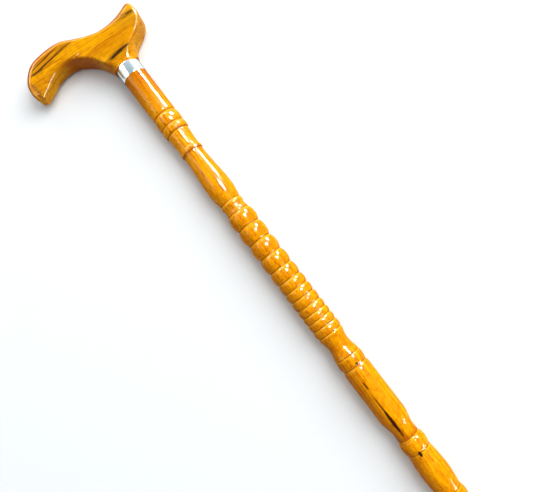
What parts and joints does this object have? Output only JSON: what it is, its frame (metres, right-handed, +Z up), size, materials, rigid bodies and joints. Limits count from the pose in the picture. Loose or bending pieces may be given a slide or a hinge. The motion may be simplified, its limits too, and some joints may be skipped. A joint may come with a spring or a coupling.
{
  "type": "walking stick",
  "caption": "Wooden walking stick with a derby handle, a polished metal collar, a turned shaft with a run of graduated beads, and a rubber ferrule.",
  "frame": {"origin": "on the surface that the stick lies on, under the middle of its bounding box", "axes": "+X along the shaft from the handle to the ferrule, +Y towards the handle's nose, +Z up from the surface, across the handle's flat cheeks"},
  "size_m": [0.9208, 0.135, 0.028],
  "materials": {
    "handle_wood": "clear lacquered honey-coloured wood with dark streaks, gloss",
    "shaft_wood": "clear lacquered honey-coloured wood, turned, gloss",
    "collar_metal": "polished",
    "stud_steel": "plain",
    "ferrule_rubber": "matt moulded",
    "washer_steel": "zinc plated"
  },
  "bodies": {
    "stick": {"handle": "handle_wood", "collar": "collar_metal", "shaft": "shaft_wood", "handle_stud": "stud_steel"},
    "ferrule": {"ferrule": "ferrule_rubber", "ferrule_washer": "washer_steel"}
  },
  "joints": [
    {"name": "ferrule_pull", "type": "slide", "parent": "stick", "child": "ferrule", "axis": [1, 0, 0], "range_m": [0, 0.04]}
  ]
}
